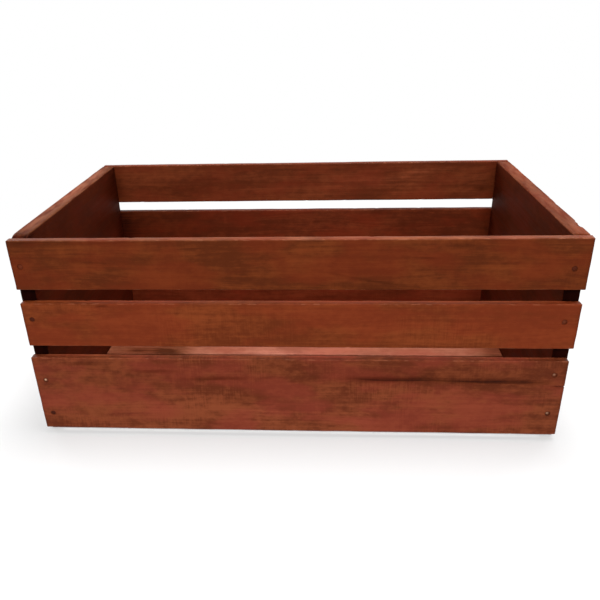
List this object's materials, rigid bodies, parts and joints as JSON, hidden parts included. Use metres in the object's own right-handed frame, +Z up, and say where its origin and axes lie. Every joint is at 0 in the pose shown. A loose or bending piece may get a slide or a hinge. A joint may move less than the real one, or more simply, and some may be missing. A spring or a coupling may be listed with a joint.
{
  "type": "slatted wooden crate",
  "caption": "Open-topped wooden crate with solid end panels, spaced slats along both long sides and a floor of spaced boards, nailed together and stained reddish brown.",
  "frame": {"origin": "centre of the crate's underside, on the surface that it stands on", "axes": "+X along the slats to the right end panel, +Y from the front to the back, +Z up to the open top"},
  "size_m": [0.4612, 0.254, 0.1899],
  "materials": {
    "slat_wood": "satin reddish-brown stain",
    "panel_wood": "satin reddish-brown stain",
    "floor_wood": "satin reddish-brown stain",
    "nail_steel": "dull, dark with age"
  },
  "bodies": {
    "root": {"end_panel_left": "panel_wood", "end_panel_right": "panel_wood", "front_slat_top": "slat_wood", "front_slat_middle": "slat_wood", "front_slat_bottom": "slat_wood", "back_slat_top": "slat_wood", "back_slat_middle": "slat_wood", "back_slat_bottom": "slat_wood", "floor_board_1": "floor_wood", "floor_board_2": "floor_wood", "floor_board_3": "floor_wood", "floor_board_4": "floor_wood", "front_nails_left": "nail_steel", "front_nails_right": "nail_steel", "back_nails_left": "nail_steel", "back_nails_right": "nail_steel", "floor_nails_left": "nail_steel", "floor_nails_right": "nail_steel"}
  },
  "joints": []
}
